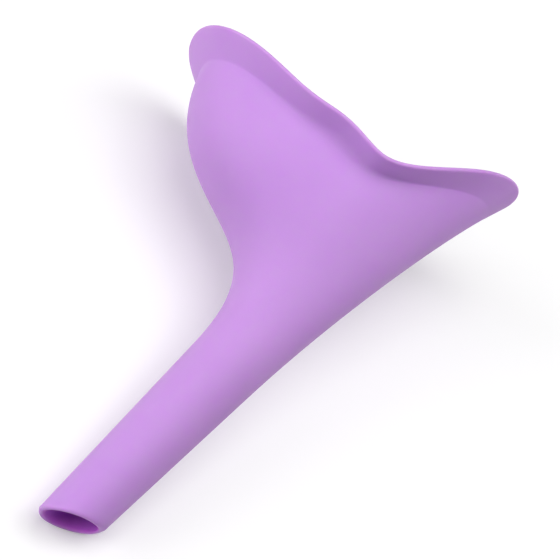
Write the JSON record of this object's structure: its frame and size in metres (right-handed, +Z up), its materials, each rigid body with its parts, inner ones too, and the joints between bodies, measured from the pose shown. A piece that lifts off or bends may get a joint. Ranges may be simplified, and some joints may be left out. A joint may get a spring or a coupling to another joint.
{
  "type": "urination funnel",
  "caption": "Hand-held soft silicone urination funnel with a flared saddle-shaped mouth, a deep cup and a tapered spout with a slanted outlet.",
  "frame": {"origin": "centre of the footprint, on the surface that the funnel lies on", "axes": "+X from the outlet to the mouth along the length of the part, +Y towards the belly of the cup, +Z up from the surface that it lies on, side down"},
  "size_m": [0.1742, 0.103, 0.0653],
  "materials": {
    "silicone": "satin, slightly translucent lavender silicone"
  },
  "bodies": {
    "funnel": {"rim_flange": "silicone", "cup_shell": "silicone", "neck": "silicone"},
    "spout": {"spout_tube": "silicone"}
  },
  "joints": [
    {"name": "spout_flex", "type": "hinge", "parent": "funnel", "child": "spout", "pos_m": [-0.02365, -0.02522, 0.01944], "axis": [-0.1844, 0, 0.9828], "range_deg": [-15, 15], "stiffness_Nm_per_rad": 0.25, "deforming": ["neck"]}
  ]
}
